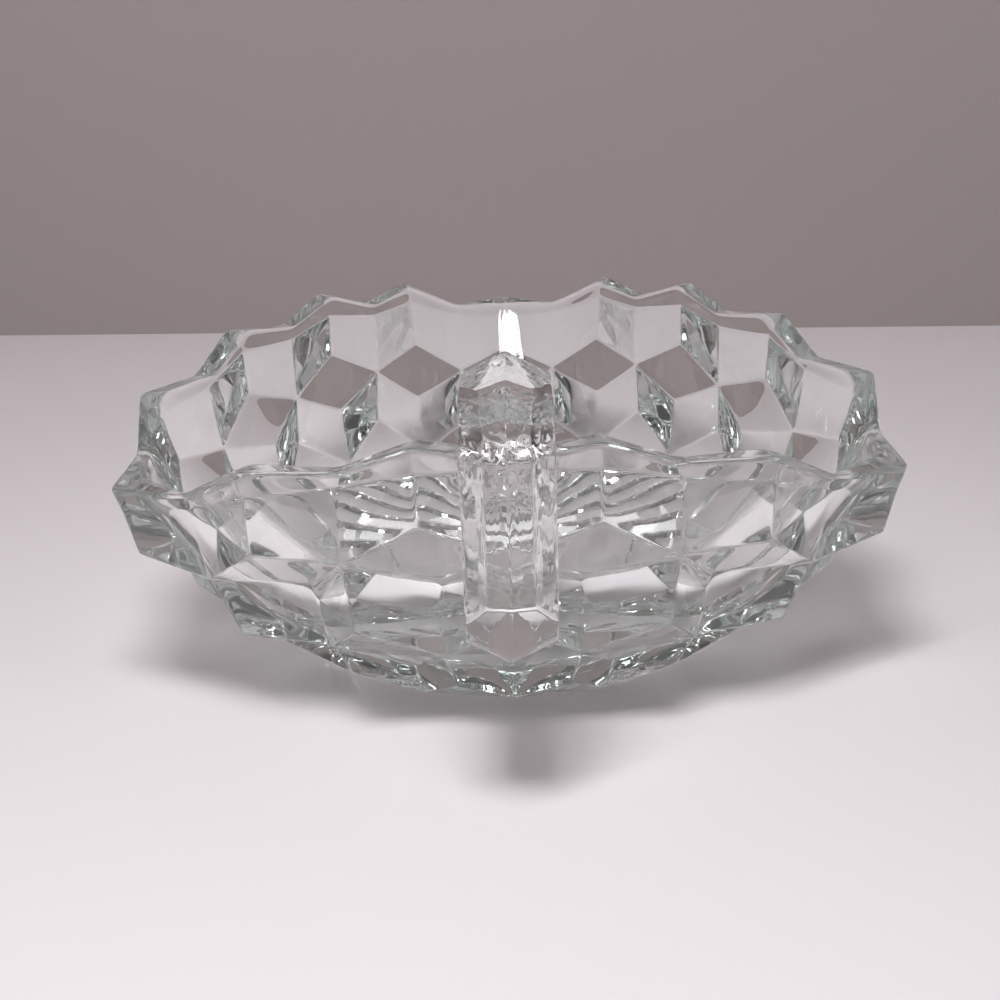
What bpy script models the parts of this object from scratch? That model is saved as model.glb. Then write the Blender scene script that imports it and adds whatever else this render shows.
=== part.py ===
"""Three-cornered handled nappy bowl in clear pressed glass.

A round foot opens into a three-cornered rim. The outside carries rows of tumbling blocks:
each block shows two upright faces, left and right of a ridge, and one diamond underside.
The inside is smooth and round, and the underside is rayed. A ridged loop handle stands at
the middle of one side.
Units are metres, +Z is up, and the origin is the middle of the foot's flat face.
"""
import math

import bmesh
import bpy
import numpy as np

# Rim, seen from above and from the side
CORNERS = 3
BLOCKS_PER_SIDE = 5
CORNER_RADIUS = 0.0734
SIDE_RADIUS = 0.0527
SIDE_FLATNESS = 0.00097
CORNER_HEIGHT = 0.0402
SIDE_HEIGHT = 0.0512
RIM_DROOP = 0.00195
CORNER_CROWDING = math.radians(4.6)
SIDE_CROWDING = math.radians(0.8)
VALLEY_DIP = 0.0029
VALLEY_GROOVE = 0.0015
RIM_THICKNESS = 0.0050
CORNER_THICKNESS = 0.0067
LIP_HEIGHT = 0.0047
LIP_VALLEY_HEIGHT = 0.0027
LIP_FLARE = 0.0019
LIP_CORNER_FLARE = 0.0008

# Rows of block corners, from the rim down to the foot. Radii are means round the bowl.
# Flare, crowd and lift say how much of the rim's three-cornered swing a row takes part in.
FIRST_RADIUS = 0.0606
FIRST_FLARE = 0.82
FIRST_DROP = 0.0134
FIRST_DROP_SWELL = 0.0011
FIRST_JUNCTION_DROP = 0.0152
FIRST_RECESS_RADIUS = 0.0516
FIRST_RECESS_FLARE = 0.38
FIRST_RECESS_HEIGHT = 0.0252
FIRST_RECESS_LIFT = 0.65
SECOND_RADIUS = 0.0567
SECOND_FLARE = 0.23
SECOND_CROWD = 0.45
SECOND_DROP = 0.0265
SECOND_JUNCTION_RADIUS = 0.0495
SECOND_JUNCTION_FLARE = 0.05
SECOND_JUNCTION_HEIGHT = 0.0126
SECOND_JUNCTION_LIFT = 0.50
DIAMOND_REACH = 0.90
THIRD_RADIUS = 0.0450
THIRD_FLARE = 0.20
THIRD_HEIGHT = 0.0058
FOOT_RADIUS = 0.0377
FOOT_FLARE = 0.13

# Smooth inside
INSIDE_FLATNESS = 0.0003
FLOOR_THICKNESS = 0.0089
FLOOR_RADIUS = 0.0430
FLOOR_FILLET = 0.0270

# Rays pressed into the underside, from a flat middle to a flat ring to stand on
RAYS = 30
RAY_START = 0.0030
RAY_END = 0.0335
RAY_WIDTH = 0.0063
RAY_DEPTH = 0.0014
RAY_CLEARANCE = 0.0001

# Loop handle at the middle of the front side
HANDLE_WIDTH = 0.0131
HANDLE_RIDGE = 0.0035
HANDLE_SHOULDER = 0.0004
HANDLE_EDGE = 0.0016
HANDLE_INSIDE = 0.0034
HANDLE_INSIDE_WIDTH = 0.0048
HANDLE_RISE = 0.0143
HANDLE_TOP_FALL = 0.0018
HANDLE_REACH = 0.0738
HANDLE_FOOT_HEIGHT = 0.0291
HANDLE_ROOT_DEPTH = 0.0070
HANDLE_ROOT_TUCK = 0.0007
HANDLE_SINK = 0.0060
HANDLE_INNER_BEND = 0.0003
HANDLE_OUTER_BEND = 0.0085
HANDLE_LOWER_BEND = 0.0006
HANDLE_LEAST_BEND = 0.0015
SEAT_GAP = 0.0003
WELD_DISTANCE = 0.000002

# Smoothness of the round stretches
FACE_STEPS = 3
WALL_STEPS = 6
FILLET_STEPS = 8
BEND_STEPS = 8
RAY_END_STEPS = 4
FACET_ANGLE = math.radians(9.0)

COLUMNS = CORNERS * BLOCKS_PER_SIDE
HANDLE_COLUMN = BLOCKS_PER_SIDE + BLOCKS_PER_SIDE // 2 + 0.5
FIRST_COLUMN_BEARING = -math.pi / 2 - 2 * math.pi * HANDLE_COLUMN / COLUMNS
GLASS_COLOUR = (0.90, 0.94, 0.93, 1.0)
HANDLE_COLOUR = (0.88, 0.93, 0.92, 1.0)


def swing(column, low, high, second):
    """Value that runs from low at a corner to high at the middle of a side."""
    turn = 2 * math.pi * column / BLOCKS_PER_SIDE
    middle = (low + high) / 2 - second
    return middle + (low - high) / 2 * math.cos(turn) + second * math.cos(2 * turn)


def rim_radius(column):
    return swing(column, CORNER_RADIUS, SIDE_RADIUS, SIDE_FLATNESS)


def rim_height(column):
    return swing(column, CORNER_HEIGHT, SIDE_HEIGHT, -RIM_DROOP)


def radius_swing(column):
    return rim_radius(column) - (CORNER_RADIUS + SIDE_RADIUS) / 2 + SIDE_FLATNESS


def height_swing(column):
    return rim_height(column) - (CORNER_HEIGHT + SIDE_HEIGHT) / 2 - RIM_DROOP


def bearing(column, flare):
    """Direction of a column; columns crowd towards the corners as the bowl flares."""
    turn = 2 * math.pi * column / BLOCKS_PER_SIDE
    crowding = CORNER_CROWDING * math.sin(turn) - SIDE_CROWDING * math.sin(2 * turn)
    return FIRST_COLUMN_BEARING + 2 * math.pi * column / COLUMNS - flare * crowding


def polar(radius, angle, height):
    return np.array((radius * math.cos(angle), radius * math.sin(angle), height))


def outward(point):
    flat = np.array((point[0], point[1], 0.0))
    return flat / np.linalg.norm(flat)


def plane_radius(corners, angle, height):
    """Radius at which the plane through three corners cuts a level line in one direction."""
    normal = np.cross(corners[1] - corners[0], corners[2] - corners[0])
    ray = np.array((math.cos(angle), math.sin(angle), 0.0))
    return float((normal @ corners[0] - normal[2] * height) / (normal @ ray))


def lip_flare(column):
    """How far the rim's outer edge leans out over the upright faces under it."""
    return swing(column, LIP_CORNER_FLARE, LIP_FLARE, 0.0)


def rim_peak(column):
    """Top of an upright ridge, carried on to the height of the rim behind the flared lip."""
    return polar(rim_radius(column) - lip_flare(column), bearing(column, 1.0), rim_height(column))


def rim_valley(column):
    middle = (rim_peak(column - 0.5) + rim_peak(column + 0.5)) / 2
    middle = middle - VALLEY_GROOVE * outward(middle)
    middle[2] -= VALLEY_DIP
    return middle


def first_corner(column):
    """Point where a block of the first row stands out most."""
    radius = FIRST_RADIUS + FIRST_FLARE * radius_swing(column)
    drop = FIRST_DROP - FIRST_DROP_SWELL * math.cos(4 * math.pi * column / BLOCKS_PER_SIDE)
    return polar(radius, bearing(column, FIRST_FLARE), rim_height(column) - drop)


def first_junction(column):
    """Corner under a rim valley, set so that the upright faces of both its blocks stay flat."""
    valley = rim_valley(column)
    angle = bearing(column, FIRST_FLARE)
    height = float(valley[2]) - FIRST_JUNCTION_DROP
    radii = []
    for block in (column - 0.5, column + 0.5):
        radii.append(plane_radius((rim_peak(block), valley, first_corner(block)), angle, height))
    return polar(sum(radii) / len(radii), angle, height)


def first_recess(column):
    radius = FIRST_RECESS_RADIUS + FIRST_RECESS_FLARE * radius_swing(column)
    height = FIRST_RECESS_HEIGHT + FIRST_RECESS_LIFT * height_swing(column)
    return polar(radius, bearing(column, FIRST_RECESS_FLARE), height)


def second_corner(column):
    radius = SECOND_RADIUS + SECOND_FLARE * radius_swing(column)
    return polar(radius, bearing(column, SECOND_CROWD), float(rim_valley(column)[2]) - SECOND_DROP)


def second_junction(column):
    radius = SECOND_JUNCTION_RADIUS + SECOND_JUNCTION_FLARE * radius_swing(column)
    height = SECOND_JUNCTION_HEIGHT + SECOND_JUNCTION_LIFT * height_swing(column)
    return polar(radius, bearing(column, SECOND_FLARE), height)


def second_recess(column):
    """Far corner of a second-row diamond, straight on from its near corner."""
    middle = (second_junction(column - 0.5) + second_junction(column + 0.5)) / 2
    return middle + DIAMOND_REACH * (middle - second_corner(column))


def third_corner(column):
    radius = THIRD_RADIUS + THIRD_FLARE * radius_swing(column)
    return polar(radius, bearing(column, FOOT_FLARE), THIRD_HEIGHT)


def foot_corner(column):
    radius = FOOT_RADIUS + FOOT_FLARE * radius_swing(column)
    return polar(radius, bearing(column, FOOT_FLARE), 0.0)


def rounded_path(corners, radii, steps):
    """Open path through corner points, each inner corner rounded to its radius."""
    points = [corners[0]]
    for before, corner, after, radius in zip(corners, corners[1:], corners[2:], radii):
        to_before = (before - corner) / np.linalg.norm(before - corner)
        to_after = (after - corner) / np.linalg.norm(after - corner)
        half = math.acos(float(to_before @ to_after)) / 2
        middle = (to_before + to_after) / np.linalg.norm(to_before + to_after)
        centre = corner + middle * radius / math.sin(half)
        start = corner + to_before * radius / math.tan(half) - centre
        finish = corner + to_after * radius / math.tan(half) - centre
        sweep = math.pi - 2 * half
        for step in range(steps + 1):
            part = step / steps
            blend = math.sin((1 - part) * sweep) * start + math.sin(part * sweep) * finish
            points.append(centre + blend / math.sin(sweep))
    points.append(corners[-1])
    return points


def split_line(start, finish, steps):
    return [start + (finish - start) * step / steps for step in range(steps)]


def inside_radius(column):
    """Radius of the inside wall at the height of the line through the rim's peaks."""
    corner = CORNER_RADIUS - CORNER_THICKNESS
    return swing(column, corner, SIDE_RADIUS - RIM_THICKNESS, INSIDE_FLATNESS)


def inside_profile(column, edge_height):
    """Inside wall in one direction as (radius, height), from the rim's inner edge to the floor."""
    foot = np.array((FLOOR_RADIUS, FLOOR_THICKNESS))
    centre = np.array((0.0, FLOOR_THICKNESS))
    wall = np.array((inside_radius(column), rim_height(column))) - foot
    edge = foot + wall * (edge_height - FLOOR_THICKNESS) / wall[1]
    path = rounded_path([edge, foot, centre], [FLOOR_FILLET], FILLET_STEPS)
    return split_line(path[0], path[1], WALL_STEPS) + path[1:-1]


def glass_material(name, colour):
    material = bpy.data.materials.new(name)
    material.use_nodes = True
    shader = material.node_tree.nodes["Principled BSDF"]
    shader.inputs["Base Color"].default_value = colour
    shader.inputs["Roughness"].default_value = 0.02
    shader.inputs["Metallic"].default_value = 0.0
    shader.inputs["IOR"].default_value = 1.52
    shader.inputs["Transmission Weight"].default_value = 1.0
    return material


def place_mesh(name, mesh_data, material):
    mesh = bpy.data.meshes.new(name)
    mesh_data.to_mesh(mesh)
    mesh.materials.append(material)
    mesh.shade_smooth()
    mesh.set_sharp_from_angle(angle=FACET_ANGLE)
    piece = bpy.data.objects.new(name, mesh)
    bpy.context.scene.collection.objects.link(piece)
    return piece


class GlassSkin:
    """Mesh under construction, whose neighbouring faces share the points along their edges."""

    def __init__(self):
        self.mesh = bmesh.new()
        self.edges = {}

    def corner(self, point):
        return self.mesh.verts.new(point)

    def face(self, corners):
        self.mesh.faces.new(corners)

    def keep_edge(self, corners):
        self.edges[corners[0], corners[-1]] = list(corners)

    def edge(self, start, finish):
        if (finish, start) in self.edges:
            return self.edges[finish, start][::-1]
        if (start, finish) not in self.edges:
            parts = [step / FACE_STEPS for step in range(1, FACE_STEPS)]
            between = [self.corner(start.co.lerp(finish.co, part)) for part in parts]
            self.keep_edge([start, *between, finish])
        return self.edges[start, finish]

    def block_face(self, first, second, third, fourth):
        """Four-cornered face, gently curved where its corners don't lie in one plane."""
        near, far = self.edge(first, second), self.edge(fourth, third)
        left, right = self.edge(first, fourth), self.edge(second, third)
        rows = [near]
        for step in range(1, FACE_STEPS):
            row = [left[step]]
            for place in range(1, FACE_STEPS):
                part = place / FACE_STEPS
                row.append(self.corner(left[step].co.lerp(right[step].co, part)))
            rows.append(row + [right[step]])
        rows.append(far)
        self.strips(rows)

    def strips(self, rows):
        for row, following in zip(rows, rows[1:]):
            for place in range(len(row) - 1):
                self.face((row[place], row[place + 1], following[place + 1], following[place]))


def rim_corner(number):
    """Top and bottom of the ridge or groove under one end of a rim slope."""
    column = number / 2
    if number % 2:
        return rim_valley(column), first_junction(column)
    return rim_peak(column), first_corner(column)


def rim_and_inside(skin):
    """Flared lip, rim top and smooth inside, in narrow strips; returns the crease under the lip."""
    rings = []
    for number in range(2 * COLUMNS):
        high_a, low_a = rim_corner(number)
        high_b, low_b = rim_corner(number + 1)
        for step in range(FACE_STEPS):
            part = step / FACE_STEPS
            column = (number + part) / 2
            high = high_a + (high_b - high_a) * part
            low = low_a + (low_b - low_a) * part
            down = (low - high) / np.linalg.norm(low - high)
            from_peak = 1 - part if number % 2 else part
            lip = LIP_HEIGHT + (LIP_VALLEY_HEIGHT - LIP_HEIGHT) * from_peak
            points = [high + down * lip, high + lip_flare(column) * outward(high)]
            angle = bearing(column, 1.0)
            for radius, height in inside_profile(column, float(high[2])):
                points.append(polar(radius, angle, height))
            rings.append([skin.corner(point) for point in points])
    skin.strips(rings + rings[:1])
    skin.face([ring[-1] for ring in rings])
    return [ring[0] for ring in rings]


def bowl_mesh():
    """Closed glass body: block relief outside, zigzag rim on top, smooth inside."""
    skin = GlassSkin()
    crease = rim_and_inside(skin)
    whole = range(COLUMNS)
    half = [index + 0.5 for index in whole]
    near_1 = [skin.corner(first_corner(column)) for column in whole]
    mid_1 = [skin.corner(first_junction(column)) for column in half]
    far_1 = [skin.corner(first_recess(column)) for column in whole]
    near_2 = [skin.corner(second_corner(column)) for column in half]
    mid_2 = [skin.corner(second_junction(column)) for column in whole]
    far_2 = [skin.corner(second_recess(column)) for column in half]
    near_3 = [skin.corner(third_corner(column)) for column in whole]
    foot = [skin.corner(foot_corner(column)) for column in half]

    slopes = []
    for number in range(2 * COLUMNS):
        places = range(number * FACE_STEPS, (number + 1) * FACE_STEPS + 1)
        slopes.append([crease[place % len(crease)] for place in places])
        skin.keep_edge(slopes[-1])
    for index in whole:
        after = (index + 1) % COLUMNS
        right, left = slopes[2 * index], slopes[2 * index + 1]
        skin.block_face(near_1[index], mid_1[index], right[-1], right[0])
        skin.block_face(mid_1[index], near_1[after], left[-1], left[0])
        skin.block_face(near_1[index], mid_1[index - 1], far_1[index], mid_1[index])
        skin.block_face(mid_1[index], far_1[index], mid_2[index], near_2[index])
        skin.block_face(mid_1[index], near_2[index], mid_2[after], far_1[after])
        skin.block_face(near_2[index], mid_2[index], far_2[index], mid_2[after])
        skin.block_face(mid_2[index], near_3[index], foot[index], far_2[index])
        skin.block_face(mid_2[index], far_2[index - 1], foot[index - 1], near_3[index])
        outline = skin.edge(near_3[index], foot[index - 1])[:-1]
        outline += skin.edge(foot[index - 1], foot[index])[:-1]
        outline += skin.edge(foot[index], near_3[index])[:-1]
        skin.face(outline)
    underside = []
    for index in whole:
        underside += skin.edge(foot[index - 1], foot[index])[:-1]
    skin.face(underside[::-1])
    bmesh.ops.recalc_face_normals(skin.mesh, faces=skin.mesh.faces)
    return skin.mesh


def ray_cutter():
    """Closed wedges, one for each ray, that deepen outwards to a crest and end in half a cone."""
    wedges = bmesh.new()
    half_width = RAY_WIDTH / 2
    widest = RAY_END - half_width
    outline = [(RAY_START - widest, 0.0)]
    for step in range(RAY_END_STEPS + 1):
        turn = math.pi * (step / RAY_END_STEPS - 0.5)
        outline.append((half_width * math.cos(turn), half_width * math.sin(turn)))
    growth = 1 + RAY_CLEARANCE / RAY_DEPTH
    for ray in range(RAYS):
        angle = FIRST_COLUMN_BEARING + 2 * math.pi * ray / RAYS
        along = polar(1.0, angle, 0.0)
        across = polar(1.0, angle + math.pi / 2, 0.0)
        crest = wedges.verts.new(polar(widest, angle, RAY_DEPTH))
        base = polar(widest, angle, -RAY_CLEARANCE)
        ring = [wedges.verts.new(base + growth * (out * along + side * across)) for out, side in outline]
        for index, corner in enumerate(ring):
            wedges.faces.new((ring[index - 1], corner, crest))
        wedges.faces.new(ring[::-1])
    bmesh.ops.recalc_face_normals(wedges, faces=wedges.faces)
    return wedges


def handle_corners():
    """Corners of the loop's middle line as (reach, height), from the rim round to the lower wall."""
    root = inside_radius(HANDLE_COLUMN) + HANDLE_RIDGE
    crest = rim_height(HANDLE_COLUMN) + HANDLE_RISE - HANDLE_RIDGE
    front = HANDLE_REACH - HANDLE_RIDGE
    wall = float(np.linalg.norm(second_corner(HANDLE_COLUMN)[:2]))
    return [
        np.array((root, float(rim_valley(HANDLE_COLUMN)[2]))),
        np.array((root, crest)),
        np.array((front, crest - HANDLE_TOP_FALL)),
        np.array((front, HANDLE_FOOT_HEIGHT)),
        np.array((wall - HANDLE_SINK, HANDLE_FOOT_HEIGHT)),
    ]


def handle_rail(out):
    """Line along the loop, so far outside its middle line, with bends that widen to match."""
    corners = handle_corners()
    normals = []
    for start, finish in zip(corners, corners[1:]):
        along = (finish - start) / np.linalg.norm(finish - start)
        normals.append(np.array((-along[1], along[0])))
    moved = []
    for corner, before, after in zip(corners, normals[:1] + normals, normals + normals[-1:]):
        moved.append(corner + out * (before + after) / (1 + float(before @ after)))
    bends = [HANDLE_INNER_BEND, HANDLE_OUTER_BEND, HANDLE_LOWER_BEND]
    return rounded_path(moved, [max(bend + out, HANDLE_LEAST_BEND) for bend in bends], BEND_STEPS)


def handle_section(ridge, shoulder, edge, inside):
    """Cross-section as (sideways, towards the loop's outside): a ridge, two edges, a flat inside."""
    side = HANDLE_WIDTH / 2
    flat = HANDLE_INSIDE_WIDTH / 2
    return [
        (0.0, ridge),
        (side, shoulder),
        (side, edge),
        (flat, inside),
        (-flat, inside),
        (-side, edge),
        (-side, shoulder),
    ]


def mirrored_band(mesh, ring, following):
    """Triangles between two rings of the handle, with both sides of its middle plane split alike."""
    count = len(ring)
    for place in range(count):
        near, far = place, (place + 1) % count
        if place > count / 2:
            near, far = far, near
        mesh.faces.new((ring[near], ring[far], following[far]))
        mesh.faces.new((ring[near], following[far], following[near]))


def handle_mesh():
    """Loop of one section along its rails, with a root that slopes into the wall under the rim."""
    loop = bmesh.new()
    root_height = float(rim_valley(HANDLE_COLUMN)[2]) - HANDLE_ROOT_DEPTH
    tucked = float(np.linalg.norm(rim_valley(HANDLE_COLUMN)[:2])) - HANDLE_ROOT_TUCK
    buried = (float(inside_profile(HANDLE_COLUMN, root_height)[0][0]) + tucked) / 2
    ring = []
    for sideways, reach in handle_section(buried, buried, tucked, tucked):
        ring.append(loop.verts.new((sideways, -reach, root_height)))
    rings = [ring]
    section = handle_section(HANDLE_RIDGE, HANDLE_SHOULDER, HANDLE_SHOULDER - HANDLE_EDGE, -HANDLE_INSIDE)
    for places in zip(*(handle_rail(out) for sideways, out in section)):
        ring = []
        for (sideways, out), (reach, height) in zip(section, places):
            ring.append(loop.verts.new((sideways, -reach, height)))
        rings.append(ring)
    for ring, following in zip(rings, rings[1:]):
        mirrored_band(loop, ring, following)
    loop.faces.new(rings[0])
    loop.faces.new(list(reversed(rings[-1])))
    bmesh.ops.recalc_face_normals(loop, faces=loop.faces)
    return loop


def seat_cutter(body):
    """Bowl grown by the seat gap, which trims the handle's two ends to the glass they meet."""
    grown = body.copy()
    grown.normal_update()
    moves = [vertex.normal * SEAT_GAP * vertex.calc_shell_factor() for vertex in grown.verts]
    for vertex, move in zip(grown.verts, moves):
        vertex.co += move
    return grown


def cut_away(piece, name, cutter):
    """Takes a hidden cutter's shape out of a piece."""
    cutter.hide_render = True
    cutter.display_type = "WIRE"
    cut = piece.modifiers.new(name, "BOOLEAN")
    cut.operation = "DIFFERENCE"
    cut.solver = "EXACT"
    cut.object = cutter


def build():
    for old in list(bpy.data.objects):
        bpy.data.objects.remove(old)
    body = bowl_mesh()
    bowl_glass = glass_material("clear_pressed_glass", GLASS_COLOUR)
    handle_glass = glass_material("clear_handle_glass", HANDLE_COLOUR)
    bowl = place_mesh("bowl_body", body, bowl_glass)
    cut_away(bowl, "rays underneath", place_mesh("ray_cutter", ray_cutter(), bowl_glass))
    handle = place_mesh("loop_handle", handle_mesh(), handle_glass)
    cut_away(handle, "seat on the bowl", place_mesh("handle_seat_cutter", seat_cutter(body), bowl_glass))
    weld = handle.modifiers.new("close the seat line", "WELD")
    weld.merge_threshold = WELD_DISTANCE


build()
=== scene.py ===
import math

import bmesh
import bpy
import numpy as np
from mathutils import Matrix, Vector, kdtree


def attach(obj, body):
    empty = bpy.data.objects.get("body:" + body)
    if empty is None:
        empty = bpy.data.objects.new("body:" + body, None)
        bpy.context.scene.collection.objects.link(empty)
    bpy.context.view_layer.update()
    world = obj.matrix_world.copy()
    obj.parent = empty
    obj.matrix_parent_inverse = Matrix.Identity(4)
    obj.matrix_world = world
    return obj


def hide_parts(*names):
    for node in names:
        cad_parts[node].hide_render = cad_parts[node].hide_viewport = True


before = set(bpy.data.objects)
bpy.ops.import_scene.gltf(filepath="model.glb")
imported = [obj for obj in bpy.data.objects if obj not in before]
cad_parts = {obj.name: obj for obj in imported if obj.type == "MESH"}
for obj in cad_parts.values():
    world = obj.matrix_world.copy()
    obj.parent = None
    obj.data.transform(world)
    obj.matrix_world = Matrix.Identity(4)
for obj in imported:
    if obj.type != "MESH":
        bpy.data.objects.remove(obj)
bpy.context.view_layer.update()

# Sizes of the bowl, in metres, as in the part's source. Rim first.
CORNERS = 3
BLOCKS_PER_SIDE = 5
CORNER_RADIUS = 0.0734
SIDE_RADIUS = 0.0527
SIDE_FLATNESS = 0.00097
CORNER_HEIGHT = 0.0402
SIDE_HEIGHT = 0.0512
RIM_DROOP = 0.00195
CORNER_CROWDING = math.radians(4.6)
SIDE_CROWDING = math.radians(0.8)
VALLEY_DIP = 0.0029
VALLEY_GROOVE = 0.0015
RIM_THICKNESS = 0.0050
CORNER_THICKNESS = 0.0067
LIP_HEIGHT = 0.0047
LIP_VALLEY_HEIGHT = 0.0027
LIP_FLARE = 0.0019
LIP_CORNER_FLARE = 0.0008

# Rows of block corners
FIRST_RADIUS = 0.0606
FIRST_FLARE = 0.82
FIRST_DROP = 0.0134
FIRST_DROP_SWELL = 0.0011
FIRST_JUNCTION_DROP = 0.0152
FIRST_RECESS_RADIUS = 0.0516
FIRST_RECESS_FLARE = 0.38
FIRST_RECESS_HEIGHT = 0.0252
FIRST_RECESS_LIFT = 0.65
SECOND_RADIUS = 0.0567
SECOND_FLARE = 0.23
SECOND_CROWD = 0.45
SECOND_DROP = 0.0265
SECOND_JUNCTION_RADIUS = 0.0495
SECOND_JUNCTION_FLARE = 0.05
SECOND_JUNCTION_HEIGHT = 0.0126
SECOND_JUNCTION_LIFT = 0.50
DIAMOND_REACH = 0.90
THIRD_RADIUS = 0.0450
THIRD_FLARE = 0.20
THIRD_HEIGHT = 0.0058
FOOT_RADIUS = 0.0377
FOOT_FLARE = 0.13

# Smooth inside
INSIDE_FLATNESS = 0.0003
FLOOR_THICKNESS = 0.0089
FLOOR_RADIUS = 0.0430
FLOOR_FILLET = 0.0270

# Rays pressed into the underside
RAYS = 30
RAY_START = 0.0030
RAY_END = 0.0335
RAY_WIDTH = 0.0063
RAY_DEPTH = 0.0014

# Loop handle
HANDLE_WIDTH = 0.0131
HANDLE_RIDGE = 0.0035
HANDLE_SHOULDER = 0.0004
HANDLE_EDGE = 0.0016
HANDLE_INSIDE = 0.0034
HANDLE_INSIDE_WIDTH = 0.0048
HANDLE_RISE = 0.0143
HANDLE_TOP_FALL = 0.0018
HANDLE_REACH = 0.0738
HANDLE_FOOT_HEIGHT = 0.0291
HANDLE_ROOT_DEPTH = 0.0070
HANDLE_ROOT_TUCK = 0.0007
HANDLE_SINK = 0.0060
HANDLE_INNER_BEND = 0.0003
HANDLE_OUTER_BEND = 0.0085
HANDLE_LOWER_BEND = 0.0006
HANDLE_LEAST_BEND = 0.0015

# Fire-polished edges, and the seams where the handle runs into the bowl
BLOCK_EDGE = 0.00080
LIP_EDGE = 0.00050
RIM_EDGE = 0.00150
RIM_SOFTNESS = 0.00240
FOOT_EDGE = 0.00060
HANDLE_SOFT_EDGE = 0.00040
SEAM_REACH = 0.0011
SEAM_PASSES = 6
SEAM_EASING = 0.5
SEAM_GRAIN = 0.00015
RAY_GRAIN = 0.00002
NEW_POINT_DISTANCE = 0.000001
LARGEST_BAND_SHARE = 0.3
LARGEST_INSET_SHARE = 0.4
POLISH_LEVELS = 2
SHARP_ANGLE = math.radians(28.0)

# Steps of the mesh
FILLET_STEPS = 6
BEND_STEPS = 6
WALL_ROWS = (0.12, 0.40, 0.70)
FLOOR_RING = 0.55
RAY_STEPS_ACROSS = 12
RAY_STEPS_ALONG = 34
RAY_BLANK_DROP = 0.0008
RAY_BLANK_MARGIN = 0.0006

# Clear glass: index of refraction, colour and strength of its absorption, faint smears
GLASS_INDEX = 1.52
GLASS_DEPTH_COLOUR = (0.82, 0.87, 0.855, 1.0)
GLASS_DEPTH_DENSITY = 18.0
SMEAR_TINT = (0.993, 0.997, 0.996, 1.0)
SMEAR_ROUGHNESS = 0.03
SMEAR_NOISE = (60.0, 5.0)
SMEAR_START = 0.45
SMEAR_FULL = 0.75

# Surface relief of the pressed glass: slow waves of the mould. Each noise is (scale, detail).
RELIEF_STRENGTH = 0.35
RELIEF_DISTANCE = 0.00012
WAVE_NOISE = (140.0, 1.5)

# Streaks drawn along the handle while the glass was soft. They fade in beyond the bowl's front and are
# strongest on the loop's inside.
STREAK_NOISE = (700.0, 2.0)
STREAK_STRETCH = (1.0, 0.12, 0.12)
STREAK_START = -0.0555
STREAK_FULL = -0.0585
STREAK_SHARE = 0.60
STREAK_OUTER = 0.35
STREAK_INNER = 3.0
INNER_FACE_START = -0.0676
INNER_FACE_FULL = -0.0671

# Dimples left on the handle's roof by the tool that shaped it
DIMPLE_NOISE = (430.0, 1.0)
DIMPLE_START = 0.0500
DIMPLE_FULL = 0.0560
DIMPLE_SHARE = 6.0

COLUMNS = CORNERS * BLOCKS_PER_SIDE
HANDLE_COLUMN = BLOCKS_PER_SIDE + BLOCKS_PER_SIDE // 2 + 0.5
FIRST_COLUMN_BEARING = -math.pi / 2 - 2 * math.pi * HANDLE_COLUMN / COLUMNS

# Camera, from the picture: place in metres, turn in degrees, lens in picture widths
CAMERA_PLACE = (0.00084, -0.2526, 0.1272)
CAMERA_YAW = -0.61
CAMERA_PITCH = 22.82
CAMERA_ROLL = 1.94
LENS_LENGTH = 1.473
SENSOR_WIDTH = 36.0
NEAREST_VIEW = 0.01

# Stage
BACKDROP_DISTANCE = 0.184
BACKDROP_TURN = math.radians(-4.24)
BACKDROP_COLOUR = (0.385, 0.33, 0.325, 1.0)
BACKDROP_ROUGHNESS = 0.9
FLOOR_COLOUR = (0.82, 0.772, 0.80, 1.0)
FLOOR_ROUGHNESS = 0.28
STAGE_SIZE = 1.6
FOOT_GAP = 0.0002

# Lamps: name, place, point aimed at, size, power in watts
LAMPS = (
    ("overhead_light", (-0.03, -0.19, 0.42), (-0.04, -0.16, 0.0), (0.13, 0.10), 1.3),
    ("left_strip_light", (-0.20, -0.30, 0.60), (-0.04, -0.22, 0.0), (0.04, 0.28), 0.75),
    ("right_strip_light", (0.10, -0.28, 0.62), (0.0, -0.20, 0.0), (0.14, 0.04), 0.3),
    ("left_glint_light", (-0.58, -0.42, 0.36), (0.0, -0.07, 0.05), (0.05, 0.12), 0.45),
    ("right_glint_light", (0.58, -0.42, 0.36), (0.0, -0.07, 0.05), (0.05, 0.12), 0.40),
)

# Soft light from all round, from low down to overhead
LOW_LIGHT_COLOUR = (0.03, 0.028, 0.028, 1.0)
HIGH_LIGHT_COLOUR = (0.17, 0.162, 0.162, 1.0)
LOW_LIGHT = -0.1
HIGH_LIGHT = 1.0

# Paths of light through the glass
GLASS_BOUNCES = 32
GLOSS_BOUNCES = 12


def swing(column, low, high, second):
    """Value that runs from low at a corner to high at the middle of a side."""
    turn = 2 * math.pi * column / BLOCKS_PER_SIDE
    middle = (low + high) / 2 - second
    return middle + (low - high) / 2 * math.cos(turn) + second * math.cos(2 * turn)


def rim_radius(column):
    return swing(column, CORNER_RADIUS, SIDE_RADIUS, SIDE_FLATNESS)


def rim_height(column):
    return swing(column, CORNER_HEIGHT, SIDE_HEIGHT, -RIM_DROOP)


def radius_swing(column):
    return rim_radius(column) - (CORNER_RADIUS + SIDE_RADIUS) / 2 + SIDE_FLATNESS


def height_swing(column):
    return rim_height(column) - (CORNER_HEIGHT + SIDE_HEIGHT) / 2 - RIM_DROOP


def bearing(column, flare):
    turn = 2 * math.pi * column / BLOCKS_PER_SIDE
    crowding = CORNER_CROWDING * math.sin(turn) - SIDE_CROWDING * math.sin(2 * turn)
    return FIRST_COLUMN_BEARING + 2 * math.pi * column / COLUMNS - flare * crowding


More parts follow.
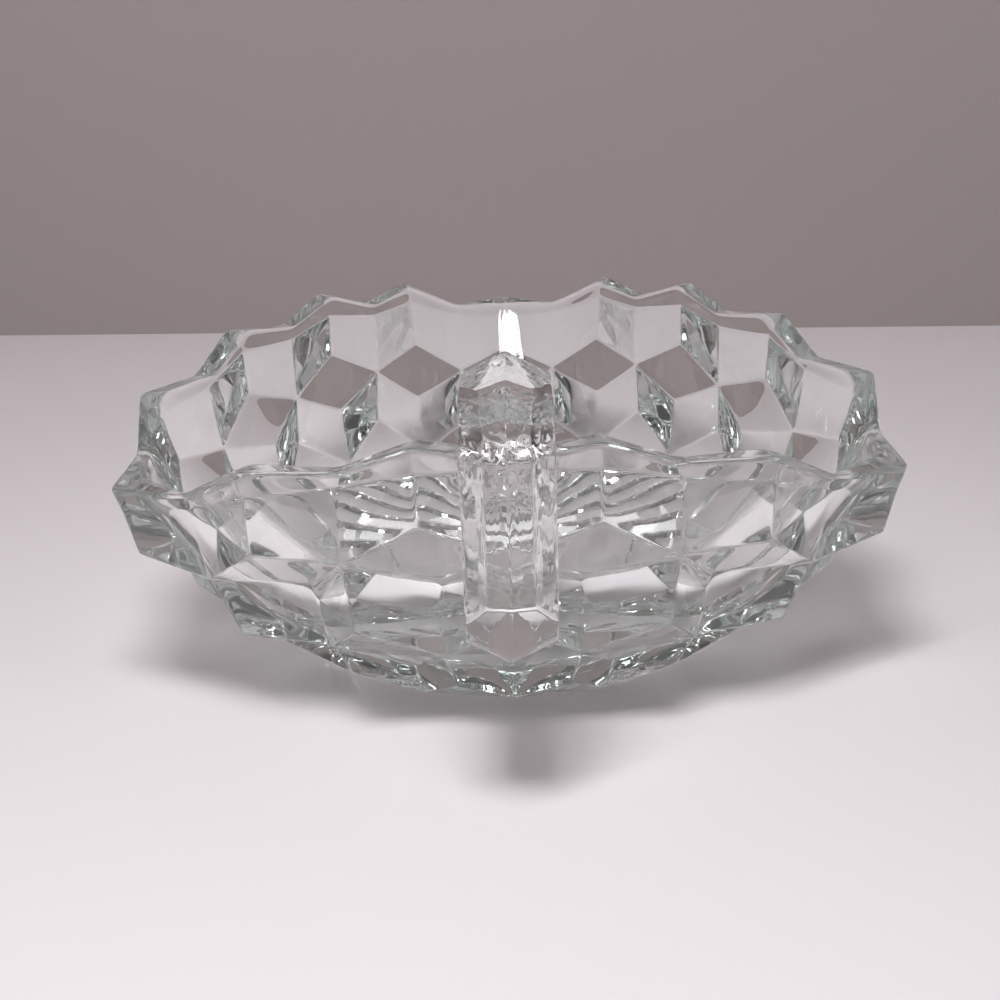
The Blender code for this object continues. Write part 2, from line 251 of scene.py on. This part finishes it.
def polar(radius, angle, height):
    return np.array((radius * math.cos(angle), radius * math.sin(angle), height))


def unit(vector):
    return vector / np.linalg.norm(vector)


def outward(point):
    return unit(np.array((point[0], point[1], 0.0)))


def plane_radius(corners, angle, height):
    normal = np.cross(corners[1] - corners[0], corners[2] - corners[0])
    ray = np.array((math.cos(angle), math.sin(angle), 0.0))
    return float((normal @ corners[0] - normal[2] * height) / (normal @ ray))


def lip_flare(column):
    return swing(column, LIP_CORNER_FLARE, LIP_FLARE, 0.0)


def rim_peak(column):
    return polar(rim_radius(column) - lip_flare(column), bearing(column, 1.0), rim_height(column))


def rim_valley(column):
    middle = (rim_peak(column - 0.5) + rim_peak(column + 0.5)) / 2
    middle = middle - VALLEY_GROOVE * outward(middle)
    middle[2] -= VALLEY_DIP
    return middle


def first_corner(column):
    radius = FIRST_RADIUS + FIRST_FLARE * radius_swing(column)
    drop = FIRST_DROP - FIRST_DROP_SWELL * math.cos(4 * math.pi * column / BLOCKS_PER_SIDE)
    return polar(radius, bearing(column, FIRST_FLARE), rim_height(column) - drop)


def first_junction(column):
    valley = rim_valley(column)
    angle = bearing(column, FIRST_FLARE)
    height = float(valley[2]) - FIRST_JUNCTION_DROP
    radii = []
    for block in (column - 0.5, column + 0.5):
        radii.append(plane_radius((rim_peak(block), valley, first_corner(block)), angle, height))
    return polar(sum(radii) / len(radii), angle, height)


def first_recess(column):
    radius = FIRST_RECESS_RADIUS + FIRST_RECESS_FLARE * radius_swing(column)
    height = FIRST_RECESS_HEIGHT + FIRST_RECESS_LIFT * height_swing(column)
    return polar(radius, bearing(column, FIRST_RECESS_FLARE), height)


def second_corner(column):
    radius = SECOND_RADIUS + SECOND_FLARE * radius_swing(column)
    return polar(radius, bearing(column, SECOND_CROWD), float(rim_valley(column)[2]) - SECOND_DROP)


def second_junction(column):
    radius = SECOND_JUNCTION_RADIUS + SECOND_JUNCTION_FLARE * radius_swing(column)
    height = SECOND_JUNCTION_HEIGHT + SECOND_JUNCTION_LIFT * height_swing(column)
    return polar(radius, bearing(column, SECOND_FLARE), height)


def second_recess(column):
    middle = (second_junction(column - 0.5) + second_junction(column + 0.5)) / 2
    return middle + DIAMOND_REACH * (middle - second_corner(column))


def third_corner(column):
    radius = THIRD_RADIUS + THIRD_FLARE * radius_swing(column)
    return polar(radius, bearing(column, FOOT_FLARE), THIRD_HEIGHT)


def foot_corner(column):
    radius = FOOT_RADIUS + FOOT_FLARE * radius_swing(column)
    return polar(radius, bearing(column, FOOT_FLARE), 0.0)


def rounded_path(corners, radii, steps):
    """Open path through corner points, each inner corner rounded to its radius."""
    points = [corners[0]]
    for before, corner, after, radius in zip(corners, corners[1:], corners[2:], radii):
        to_before = unit(before - corner)
        to_after = unit(after - corner)
        half = math.acos(float(to_before @ to_after)) / 2
        centre = corner + unit(to_before + to_after) * radius / math.sin(half)
        start = corner + to_before * radius / math.tan(half) - centre
        finish = corner + to_after * radius / math.tan(half) - centre
        sweep = math.pi - 2 * half
        for step in range(steps + 1):
            part = step / steps
            blend = math.sin((1 - part) * sweep) * start + math.sin(part * sweep) * finish
            points.append(centre + blend / math.sin(sweep))
    points.append(corners[-1])
    return points


def inside_radius(column):
    corner = CORNER_RADIUS - CORNER_THICKNESS
    return swing(column, corner, SIDE_RADIUS - RIM_THICKNESS, INSIDE_FLATNESS)


def inside_edge(column, height):
    """Radius of the smooth inside wall at one height."""
    lean = (inside_radius(column) - FLOOR_RADIUS) / (rim_height(column) - FLOOR_THICKNESS)
    return FLOOR_RADIUS + lean * (height - FLOOR_THICKNESS)


def inside_rows(column, edge_height):
    """Inside wall below the rim and the round run into the floor, as (radius, height)."""
    edge = np.array((inside_edge(column, edge_height), edge_height))
    foot = np.array((FLOOR_RADIUS, FLOOR_THICKNESS))
    centre = np.array((0.0, FLOOR_THICKNESS))
    path = rounded_path([edge, foot, centre], [FLOOR_FILLET], FILLET_STEPS)
    wall = [path[0] + (path[1] - path[0]) * part for part in WALL_ROWS]
    return wall + path[1:-1] + [path[-2] * FLOOR_RING + centre * (1 - FLOOR_RING)]


class GlassCage:
    """Cage of the glass skin: faces share their edges' points, with a narrow band beside each edge."""

    def __init__(self):
        self.mesh = bmesh.new()
        self.edges = {}

    def corner(self, point):
        return self.mesh.verts.new(point)

    def face(self, corners):
        self.mesh.faces.new(corners)

    def keep_edge(self, corners):
        self.edges[corners[0], corners[-1]] = list(corners)

    def edge(self, start, finish):
        if (finish, start) in self.edges:
            return self.edges[finish, start][::-1]
        if (start, finish) not in self.edges:
            part = BLOCK_EDGE / (finish.co - start.co).length
            between = [self.corner(start.co.lerp(finish.co, place)) for place in (part, 1 - part)]
            self.keep_edge([start, *between, finish])
        return self.edges[start, finish]

    def block_face(self, first, second, third, fourth):
        """Four-cornered face of a block, filled between its four edges."""
        near, far = self.edge(first, second), self.edge(fourth, third)
        left, right = self.edge(first, fourth), self.edge(second, third)
        last = len(near) - 1
        rows = [near]
        for row in range(1, last):
            up = edge_share(left, row)
            filled = [left[row]]
            for place in range(1, last):
                along = edge_share(near, place)
                across = left[row].co.lerp(right[row].co, along) + near[place].co.lerp(far[place].co, up)
                flat = first.co.lerp(second.co, along).lerp(fourth.co.lerp(third.co, along), up)
                filled.append(self.corner(across - flat))
            rows.append(filled + [right[row]])
        rows.append(far)
        self.strips(rows)

    def rimmed_face(self, outline, band):
        """Flat face of any outline, with a narrow band inside its edge."""
        middle = sum((point.co for point in outline), Vector()) / len(outline)
        inner = []
        for point in outline:
            reach = (point.co - middle).length
            inner.append(self.corner(point.co.lerp(middle, min(LARGEST_INSET_SHARE, band / reach))))
        self.strips([[*outline, outline[0]], [*inner, inner[0]]])
        self.face(inner)

    def strips(self, rows):
        for row, following in zip(rows, rows[1:]):
            for place in range(len(row) - 1):
                self.face((row[place], row[place + 1], following[place + 1], following[place]))


def edge_share(points, place):
    whole = (points[-1].co - points[0].co).length
    return (points[place].co - points[0].co).length / whole


def rim_corner(number):
    """Top and bottom of the ridge or groove under one end of a rim slope."""
    column = number / 2
    if number % 2:
        return rim_valley(column), first_junction(column)
    return rim_peak(column), first_corner(column)


def rim_ring(number, tight, soft, even):
    """Points from the crease under the lip over the rim and down the inside, at one place along a slope.

    The crease's points crowd beside the peaks and valleys, the rim's stand off them so that it is worn
    round, and those of the smooth inside are spread evenly.
    """
    high_a, low_a = rim_corner(number)
    high_b, low_b = rim_corner(number + 1)
    high = high_a + (high_b - high_a) * tight
    low = low_a + (low_b - low_a) * tight
    from_peak = 1 - tight if number % 2 else tight
    lip = LIP_HEIGHT + (LIP_VALLEY_HEIGHT - LIP_HEIGHT) * from_peak
    crease = high + unit(low - high) * lip
    column = (number + soft) / 2
    edge = high_a + (high_b - high_a) * soft
    height = float(edge[2])
    top = edge + lip_flare(column) * outward(edge)
    rise = unit(top - crease)
    inner = polar(inside_edge(column, height), bearing(column, 1.0), height)
    under = polar(inside_edge(column, height - RIM_EDGE), bearing(column, 1.0), height - RIM_EDGE)
    across = unit(inner - top)
    points = [
        crease,
        crease + rise * LIP_EDGE,
        top - rise * RIM_EDGE,
        top,
        top + across * RIM_EDGE,
        inner - across * RIM_EDGE,
        inner,
        under,
    ]
    column = (number + even) / 2
    even_height = float(high_a[2] + (high_b[2] - high_a[2]) * even)
    for radius, row_height in inside_rows(column, even_height):
        points.append(polar(radius, bearing(column, 1.0), row_height))
    return points


def rim_and_inside(cage):
    """Flared lip, rim top and smooth inside; returns the crease under the lip, slope by slope."""
    rings = []
    for number in range(2 * COLUMNS):
        span = np.linalg.norm(rim_corner(number + 1)[0] - rim_corner(number)[0])
        tight, soft = BLOCK_EDGE / span, RIM_SOFTNESS / span
        for parts in ((0.0, 0.0, 0.0), (tight, soft, 1 / 3), (1 - tight, 1 - soft, 2 / 3)):
            rings.append([cage.corner(point) for point in rim_ring(number, *parts)])
    cage.strips(rings + rings[:1])
    cage.face([ring[-1] for ring in rings])
    crease = [ring[0] for ring in rings]
    per_slope = len(rings) // (2 * COLUMNS)
    slopes = []
    for number in range(2 * COLUMNS):
        places = range(number * per_slope, (number + 1) * per_slope + 1)
        slopes.append([crease[place % len(crease)] for place in places])
    return slopes


def bowl_cage():
    """Tumbling blocks outside, zigzag rim on top, smooth inside, flat foot."""
    cage = GlassCage()
    slopes = rim_and_inside(cage)
    for slope in slopes:
        cage.keep_edge(slope)
    whole = range(COLUMNS)
    half = [index + 0.5 for index in whole]
    near_1 = [cage.corner(first_corner(column)) for column in whole]
    mid_1 = [cage.corner(first_junction(column)) for column in half]
    far_1 = [cage.corner(first_recess(column)) for column in whole]
    near_2 = [cage.corner(second_corner(column)) for column in half]
    mid_2 = [cage.corner(second_junction(column)) for column in whole]
    far_2 = [cage.corner(second_recess(column)) for column in half]
    near_3 = [cage.corner(third_corner(column)) for column in whole]
    foot = [cage.corner(foot_corner(column)) for column in half]
    underside = []
    for index in whole:
        after = (index + 1) % COLUMNS
        right, left = slopes[2 * index], slopes[2 * index + 1]
        cage.block_face(near_1[index], mid_1[index], right[-1], right[0])
        cage.block_face(mid_1[index], near_1[after], left[-1], left[0])
        cage.block_face(near_1[index], mid_1[index - 1], far_1[index], mid_1[index])
        cage.block_face(mid_1[index], far_1[index], mid_2[index], near_2[index])
        cage.block_face(mid_1[index], near_2[index], mid_2[after], far_1[after])
        cage.block_face(near_2[index], mid_2[index], far_2[index], mid_2[after])
        cage.block_face(mid_2[index], near_3[index], foot[index], far_2[index])
        cage.block_face(mid_2[index], far_2[index - 1], foot[index - 1], near_3[index])
        outline = cage.edge(near_3[index], foot[index - 1])[:-1]
        outline += cage.edge(foot[index - 1], foot[index])[:-1]
        outline += cage.edge(foot[index], near_3[index])[:-1]
        cage.rimmed_face(outline, BLOCK_EDGE)
        underside += cage.edge(foot[index - 1], foot[index])[:-1]
    cage.rimmed_face(underside[::-1], FOOT_EDGE)
    bmesh.ops.recalc_face_normals(cage.mesh, faces=cage.mesh.faces)
    return cage.mesh


def handle_corners():
    """Corners of the loop's middle line as (reach, height), from the rim round to the lower wall."""
    root = inside_radius(HANDLE_COLUMN) + HANDLE_RIDGE
    crest = rim_height(HANDLE_COLUMN) + HANDLE_RISE - HANDLE_RIDGE
    front = HANDLE_REACH - HANDLE_RIDGE
    wall = float(np.linalg.norm(second_corner(HANDLE_COLUMN)[:2]))
    return [
        np.array((root, float(rim_valley(HANDLE_COLUMN)[2]))),
        np.array((root, crest)),
        np.array((front, crest - HANDLE_TOP_FALL)),
        np.array((front, HANDLE_FOOT_HEIGHT)),
        np.array((wall - HANDLE_SINK, HANDLE_FOOT_HEIGHT)),
    ]


def handle_rail(out):
    """Line along the loop, so far outside its middle line, with bends that widen to match."""
    corners = handle_corners()
    normals = []
    for start, finish in zip(corners, corners[1:]):
        along = unit(finish - start)
        normals.append(np.array((-along[1], along[0])))
    moved = []
    for corner, before, after in zip(corners, normals[:1] + normals, normals + normals[-1:]):
        moved.append(corner + out * (before + after) / (1 + float(before @ after)))
    bends = [HANDLE_INNER_BEND, HANDLE_OUTER_BEND, HANDLE_LOWER_BEND]
    return rounded_path(moved, [max(bend + out, HANDLE_LEAST_BEND) for bend in bends], BEND_STEPS)


def handle_section(ridge, shoulder, edge, inside):
    """Cross-section as (sideways, towards the loop's outside), with a narrow band beside each corner."""
    side = HANDLE_WIDTH / 2
    flat = HANDLE_INSIDE_WIDTH / 2
    corners = [
        (0.0, ridge),
        (side, shoulder),
        (side, edge),
        (flat, inside),
        (-flat, inside),
        (-side, edge),
        (-side, shoulder),
    ]
    corners = [np.array(corner) for corner in corners]
    section = []
    for index, corner in enumerate(corners):
        before = corners[index - 1]
        after = corners[(index + 1) % len(corners)]
        shortest = min(np.linalg.norm(after - corner), np.linalg.norm(before - corner))
        band = min(HANDLE_SOFT_EDGE, LARGEST_BAND_SHARE * shortest)
        section += [corner + unit(before - corner) * band, corner, corner + unit(after - corner) * band]
    return section


def handle_cage():
    """Loop of one ridged section along its rails, with a root that slopes into the wall under the rim."""
    loop = bmesh.new()
    root_height = float(rim_valley(HANDLE_COLUMN)[2]) - HANDLE_ROOT_DEPTH
    tucked = float(np.linalg.norm(rim_valley(HANDLE_COLUMN)[:2])) - HANDLE_ROOT_TUCK
    buried = (inside_edge(HANDLE_COLUMN, root_height) + tucked) / 2
    ring = []
    for sideways, reach in handle_section(buried, buried, tucked, tucked):
        ring.append(loop.verts.new((sideways, -reach, root_height)))
    rings = [ring]
    section = handle_section(HANDLE_RIDGE, HANDLE_SHOULDER, HANDLE_SHOULDER - HANDLE_EDGE, -HANDLE_INSIDE)
    for places in zip(*(handle_rail(out) for sideways, out in section)):
        ring = []
        for (sideways, out), (reach, height) in zip(section, places):
            ring.append(loop.verts.new((sideways, -reach, height)))
        rings.append(ring)
    for ring, following in zip(rings, rings[1:]):
        count = len(ring)
        for place in range(count):
            after = (place + 1) % count
            loop.faces.new((ring[place], ring[after], following[after], following[place]))
    loop.faces.new(rings[0])
    loop.faces.new(list(reversed(rings[-1])))
    bmesh.ops.recalc_face_normals(loop, faces=loop.faces)
    return loop


def ray_height(radius, off_ray):
    """Height of a ray's groove over the foot's face; below nought outside the ray."""
    half_width = RAY_WIDTH / 2
    widest = RAY_END - half_width
    along, across = radius * math.cos(off_ray), radius * math.sin(off_ray)
    if along > widest:
        fill = 1 - math.hypot(along - widest, across) / half_width
    else:
        fill = (along - RAY_START) / (widest - RAY_START) - abs(across) / half_width
    return max(RAY_DEPTH * fill, -RAY_BLANK_DROP / 2)


def ray_blank():
    """Closed cutter whose top stands up into the foot wherever a ray is pressed."""
    blank = bmesh.new()
    count = RAYS * RAY_STEPS_ACROSS
    reach = RAY_END + RAY_BLANK_MARGIN
    rings = []
    for step in range(1, RAY_STEPS_ALONG + 1):
        radius = reach * step / RAY_STEPS_ALONG
        ring = []
        for place in range(count):
            off_ray = (place % RAY_STEPS_ACROSS - RAY_STEPS_ACROSS / 2) / count * 2 * math.pi
            height = ray_height(radius, off_ray)
            angle = FIRST_COLUMN_BEARING + 2 * math.pi * (place - RAY_STEPS_ACROSS / 2) / count
            ring.append(blank.verts.new(polar(radius, angle, height)))
        rings.append(ring)
    rings.append([blank.verts.new((*point.co.xy, -RAY_BLANK_DROP)) for point in rings[-1]])
    for ring, following in zip(rings, rings[1:]):
        for place in range(count):
            after = (place + 1) % count
            blank.faces.new((ring[place], ring[after], following[after], following[place]))
    blank.faces.new(rings[0])
    blank.faces.new(rings[-1])
    bmesh.ops.recalc_face_normals(blank, faces=blank.faces)
    return blank


def press_rays(bowl):
    """Cuts the rays out of the foot."""
    combine(bowl, placed("ray_blank", ray_blank()), "DIFFERENCE")
    mesh = bmesh.new()
    mesh.from_mesh(bowl.data)
    mend(mesh, [vertex for vertex in mesh.verts if vertex.co.z < RAY_DEPTH], RAY_GRAIN)
    mesh.to_mesh(bowl.data)
    mesh.free()


def placed(name, mesh_data):
    mesh = bpy.data.meshes.new(name)
    mesh_data.to_mesh(mesh)
    mesh_data.free()
    piece = bpy.data.objects.new(name, mesh)
    bpy.context.scene.collection.objects.link(piece)
    return piece


def polished(piece):
    """Fire polish: the cage's narrow bands become softly rounded edges."""
    polish = piece.modifiers.new("fire polish", "SUBSURF")
    polish.levels = POLISH_LEVELS
    polish.render_levels = POLISH_LEVELS
    settle(piece)
    return piece


def settle(piece):
    """Puts a piece's modifiers into its mesh."""
    graph = bpy.context.evaluated_depsgraph_get()
    finished = bpy.data.meshes.new_from_object(piece.evaluated_get(graph))
    piece.modifiers.clear()
    piece.data = finished


def combine(piece, other, operation):
    """Joins one closed piece to another, or cuts it out, and removes it."""
    change = piece.modifiers.new("combine", "BOOLEAN")
    change.operation = operation
    change.solver = "MANIFOLD"
    change.object = other
    settle(piece)
    bpy.data.objects.remove(other)


def mend(mesh, corners, grain):
    """Merges the slivers that a cut leaves, splits many-cornered faces and drops doubled ones."""
    bmesh.ops.remove_doubles(mesh, verts=corners, dist=grain)
    bmesh.ops.triangulate(mesh, faces=[face for face in mesh.faces if len(face.verts) > 4])
    twins = {}
    for face in mesh.faces:
        twins.setdefault(frozenset(face.verts), []).append(face)
    flaps = [face for pair in twins.values() if len(pair) > 1 for face in pair]
    bmesh.ops.delete(mesh, geom=flaps, context="FACES")


def point_tree(points):
    tree = kdtree.KDTree(len(points))
    for index, point in enumerate(points):
        tree.insert(point, index)
    tree.balance()
    return tree


def beside(mesh, seam):
    return [vertex for vertex in mesh.verts if seam.find(vertex.co)[2] < SEAM_REACH]


def fuse(bowl, handle):
    """One casting: the handle is joined to the bowl and the seams are drawn smooth."""
    old = point_tree([vertex.co.copy() for piece in (bowl, handle) for vertex in piece.data.vertices])
    combine(bowl, handle, "UNION")
    mesh = bmesh.new()
    mesh.from_mesh(bowl.data)
    new_points = [vertex.co.copy() for vertex in mesh.verts if old.find(vertex.co)[2] > NEW_POINT_DISTANCE]
    seam = point_tree(new_points)
    mend(mesh, beside(mesh, seam), SEAM_GRAIN)
    soft = beside(mesh, seam)
    for _ in range(SEAM_PASSES):
        bmesh.ops.smooth_vert(
            mesh, verts=soft, factor=SEAM_EASING, use_axis_x=True, use_axis_y=True, use_axis_z=True
        )
    mesh.to_mesh(bowl.data)
    mesh.free()


def shader_node(tree, kind, place, **settings):
    node = tree.nodes.new(kind)
    node.location = place
    for key, value in settings.items():
        setattr(node, key, value)
    return node


def noise(tree, spot, grain, vector):
    node = shader_node(tree, "ShaderNodeTexNoise", spot)
    node.inputs["Scale"].default_value, node.inputs["Detail"].default_value = grain
    tree.links.new(vector, node.inputs["Vector"])
    return node.outputs["Fac"]


def ramp(tree, spot, value, start, full, low=0.0, high=1.0):
    """Value that runs from low to high between two limits."""
    node = shader_node(tree, "ShaderNodeMapRange", spot)
    for name, number in (("From Min", start), ("From Max", full), ("To Min", low), ("To Max", high)):
        node.inputs[name].default_value = number
    tree.links.new(value, node.inputs["Value"])
    return node.outputs["Result"]


def reckon(tree, spot, operation, *terms):
    """Sum or product of the terms, each an output of a node or a plain number."""
    node = shader_node(tree, "ShaderNodeMath", spot, operation=operation)
    for socket, term in zip(node.inputs, terms):
        if isinstance(term, float):
            socket.default_value = term
        else:
            tree.links.new(term, socket)
    return node.outputs["Value"]


def handle_streaks(tree, place, across):
    """Streaks along the handle, masked by the distance out from the bowl."""
    along = shader_node(tree, "ShaderNodeMapping", (-750, 600))
    along.inputs["Scale"].default_value = STREAK_STRETCH
    tree.links.new(place, along.inputs["Vector"])
    streaks = noise(tree, (-600, 600), STREAK_NOISE, along.outputs["Vector"])
    on_handle = ramp(tree, (-400, 850), across, STREAK_START, STREAK_FULL)
    inner = ramp(tree, (-400, 1350), across, INNER_FACE_START, INNER_FACE_FULL, STREAK_OUTER, STREAK_INNER)
    where = reckon(tree, (-300, 1200), "MULTIPLY", on_handle, inner)
    return reckon(tree, (-200, 700), "MULTIPLY", streaks, where)


def roof_dimples(tree, place, height):
    dimples = noise(tree, (-600, 1100), DIMPLE_NOISE, place)
    on_roof = ramp(tree, (-400, 1100), height, DIMPLE_START, DIMPLE_FULL)
    return reckon(tree, (-200, 1000), "MULTIPLY", dimples, on_roof)


def surface_group():
    """Empty node group with the sockets of the pressed surface."""
    group = bpy.data.node_groups.new("pressed_glass_surface", "ShaderNodeTree")
    for name, kind, way in (
        ("Tint", "NodeSocketColor", "INPUT"),
        ("Smear", "NodeSocketFloat", "INPUT"),
        ("Color", "NodeSocketColor", "OUTPUT"),
        ("Roughness", "NodeSocketFloat", "OUTPUT"),
        ("Height", "NodeSocketFloat", "OUTPUT"),
    ):
        group.interface.new_socket(name, in_out=way, socket_type=kind)
    return group


def pressed_surface():
    """Node group: slow waves of the mould, faint smears and haze, and the handle's streaks and dimples."""
    group = surface_group()
    link = group.links.new
    start = shader_node(group, "NodeGroupInput", (-900, 0))
    finish = shader_node(group, "NodeGroupOutput", (500, 0))
    place = shader_node(group, "ShaderNodeTexCoord", (-900, 300)).outputs["Object"]
    split = shader_node(group, "ShaderNodeSeparateXYZ", (-600, 850))
    link(place, split.inputs["Vector"])
    smears = noise(group, (-600, 0), SMEAR_NOISE, place)
    haze = ramp(group, (-300, 0), smears, SMEAR_START, SMEAR_FULL)
    link(reckon(group, (0, 0), "MULTIPLY", haze, start.outputs["Smear"]), finish.inputs["Roughness"])
    tint = shader_node(group, "ShaderNodeMix", (0, -250), data_type="RGBA")
    tint.inputs["A"].default_value = (1.0, 1.0, 1.0, 1.0)
    link(smears, tint.inputs["Factor"])
    link(start.outputs["Tint"], tint.inputs["B"])
    link(tint.outputs["Result"], finish.inputs["Color"])
    waves = noise(group, (-600, 300), WAVE_NOISE, place)
    streaks = handle_streaks(group, place, split.outputs["Y"])
    dimples = roof_dimples(group, place, split.outputs["Z"])
    drawn = reckon(group, (0, 500), "MULTIPLY_ADD", streaks, STREAK_SHARE, waves)
    worked = reckon(group, (0, 800), "MULTIPLY_ADD", dimples, DIMPLE_SHARE, drawn)
    link(worked, finish.inputs["Height"])
    return group


def clear_glass(surface):
    material = bpy.data.materials.new("clear_pressed_glass")
    material.use_nodes = True
    tree = material.node_tree
    shader = tree.nodes["Principled BSDF"]
    shader.inputs["Metallic"].default_value = 0.0
    shader.inputs["IOR"].default_value = GLASS_INDEX
    shader.inputs["Transmission Weight"].default_value = 1.0
    finish = shader_node(tree, "ShaderNodeGroup", (-600, 200), node_tree=surface)
    finish.inputs["Tint"].default_value = SMEAR_TINT
    finish.inputs["Smear"].default_value = SMEAR_ROUGHNESS
    bump = shader_node(tree, "ShaderNodeBump", (-300, -100))
    bump.inputs["Strength"].default_value = RELIEF_STRENGTH
    bump.inputs["Distance"].default_value = RELIEF_DISTANCE
    depth = shader_node(tree, "ShaderNodeVolumeAbsorption", (0, -400))
    depth.inputs["Color"].default_value = GLASS_DEPTH_COLOUR
    depth.inputs["Density"].default_value = GLASS_DEPTH_DENSITY
    link = tree.links.new
    link(finish.outputs["Color"], shader.inputs["Base Color"])
    link(finish.outputs["Roughness"], shader.inputs["Roughness"])
    link(finish.outputs["Height"], bump.inputs["Height"])
    link(bump.outputs["Normal"], shader.inputs["Normal"])
    link(depth.outputs["Volume"], tree.nodes["Material Output"].inputs["Volume"])
    return material


def make_bowl():
    bowl = polished(placed("handled_nappy_bowl", bowl_cage()))
    handle = polished(placed("loop_handle_blank", handle_cage()))
    fuse(bowl, handle)
    press_rays(bowl)
    bowl.data.materials.clear()
    bowl.data.materials.append(clear_glass(pressed_surface()))
    bowl.data.shade_smooth()
    bowl.data.set_sharp_from_angle(angle=SHARP_ANGLE)
    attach(bowl, "root")
    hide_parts("bowl_body", "loop_handle")


def stage_sheet(name, corners, material):
    sheet = bmesh.new()
    sheet.faces.new([sheet.verts.new(corner) for corner in corners])
    piece = placed(name, sheet)
    piece.data.materials.append(material)
    return piece


def matt(name, colour, roughness):
    material = bpy.data.materials.new(name)
    material.use_nodes = True
    shader = material.node_tree.nodes["Principled BSDF"]
    shader.inputs["Base Color"].default_value = colour
    shader.inputs["Roughness"].default_value = roughness
    return material


def one_sided(material):
    """Lets a backdrop be seen from its front only, so that the bowl also shows from behind it."""
    tree = material.node_tree
    side = shader_node(tree, "ShaderNodeNewGeometry", (0, 400))
    clear = shader_node(tree, "ShaderNodeBsdfTransparent", (0, 200))
    choose = shader_node(tree, "ShaderNodeMixShader", (300, 300))
    link = tree.links.new
    link(side.outputs["Backfacing"], choose.inputs["Fac"])
    link(tree.nodes["Principled BSDF"].outputs["BSDF"], choose.inputs[1])
    link(clear.outputs["BSDF"], choose.inputs[2])
    link(choose.outputs["Shader"], tree.nodes["Material Output"].inputs["Surface"])
    return material


def lay_stage():
    side, low = STAGE_SIZE, -FOOT_GAP
    floor = matt("pale_floor", FLOOR_COLOUR, FLOOR_ROUGHNESS)
    corners = ((-side, -side), (side, -side), (side, side), (-side, side))
    stage_sheet("floor", [(*corner, low) for corner in corners], floor)
    backdrop = one_sided(matt("warm_grey_backdrop", BACKDROP_COLOUR, BACKDROP_ROUGHNESS))
    foot = Vector((0.0, BACKDROP_DISTANCE, low))
    along = Vector((math.cos(BACKDROP_TURN), math.sin(BACKDROP_TURN), 0.0)) * side
    left, right = foot - along, foot + along
    rise = Vector((0.0, 0.0, side))
    stage_sheet("backdrop", (left, right, right + rise, left + rise), backdrop)


def softbox(name, place, aim, size, power):
    lamp = bpy.data.lights.new(name, "AREA")
    lamp.shape = "RECTANGLE"
    lamp.size, lamp.size_y = size
    lamp.energy = power
    box = bpy.data.objects.new(name, lamp)
    box.location = place
    box.rotation_euler = (Vector(aim) - Vector(place)).to_track_quat("-Z", "Y").to_euler()
    bpy.context.scene.collection.objects.link(box)


def light_all_round():
    """Soft light from every side, brighter overhead."""
    world = bpy.data.worlds.new("studio_light")
    bpy.context.scene.world = world
    world.use_nodes = True
    tree = world.node_tree
    place = shader_node(tree, "ShaderNodeTexCoord", (-900, 0))
    split = shader_node(tree, "ShaderNodeSeparateXYZ", (-700, 0))
    light = shader_node(tree, "ShaderNodeMix", (-250, 0), data_type="RGBA")
    light.inputs["A"].default_value = LOW_LIGHT_COLOUR
    light.inputs["B"].default_value = HIGH_LIGHT_COLOUR
    link = tree.links.new
    link(place.outputs["Generated"], split.inputs["Vector"])
    link(ramp(tree, (-500, 0), split.outputs["Z"], LOW_LIGHT, HIGH_LIGHT), light.inputs["Factor"])
    link(light.outputs["Result"], tree.nodes["Background"].inputs["Color"])


def set_camera():
    yaw, pitch, roll = (math.radians(angle) for angle in (CAMERA_YAW, CAMERA_PITCH, CAMERA_ROLL))
    ahead = Vector((math.sin(yaw) * math.cos(pitch), math.cos(yaw) * math.cos(pitch), -math.sin(pitch)))
    level = Vector((math.cos(yaw), -math.sin(yaw), 0.0))
    down = ahead.cross(level)
    right = level * math.cos(roll) + down * math.sin(roll)
    up = level * math.sin(roll) - down * math.cos(roll)
    camera = bpy.data.cameras.new("camera")
    camera.sensor_width = SENSOR_WIDTH
    camera.lens = LENS_LENGTH * SENSOR_WIDTH
    camera.clip_start = NEAREST_VIEW
    holder = bpy.data.objects.new("camera", camera)
    turn = Matrix((right, up, -ahead)).transposed().to_4x4()
    holder.matrix_world = Matrix.Translation(CAMERA_PLACE) @ turn
    bpy.context.scene.collection.objects.link(holder)
    bpy.context.scene.camera = holder


make_bowl()
lay_stage()
for lamp_settings in LAMPS:
    softbox(*lamp_settings)
light_all_round()
set_camera()
scene = bpy.context.scene
scene.view_settings.view_transform = "Standard"
scene.cycles.max_bounces = GLASS_BOUNCES
scene.cycles.transmission_bounces = GLASS_BOUNCES
scene.cycles.glossy_bounces = GLOSS_BOUNCES
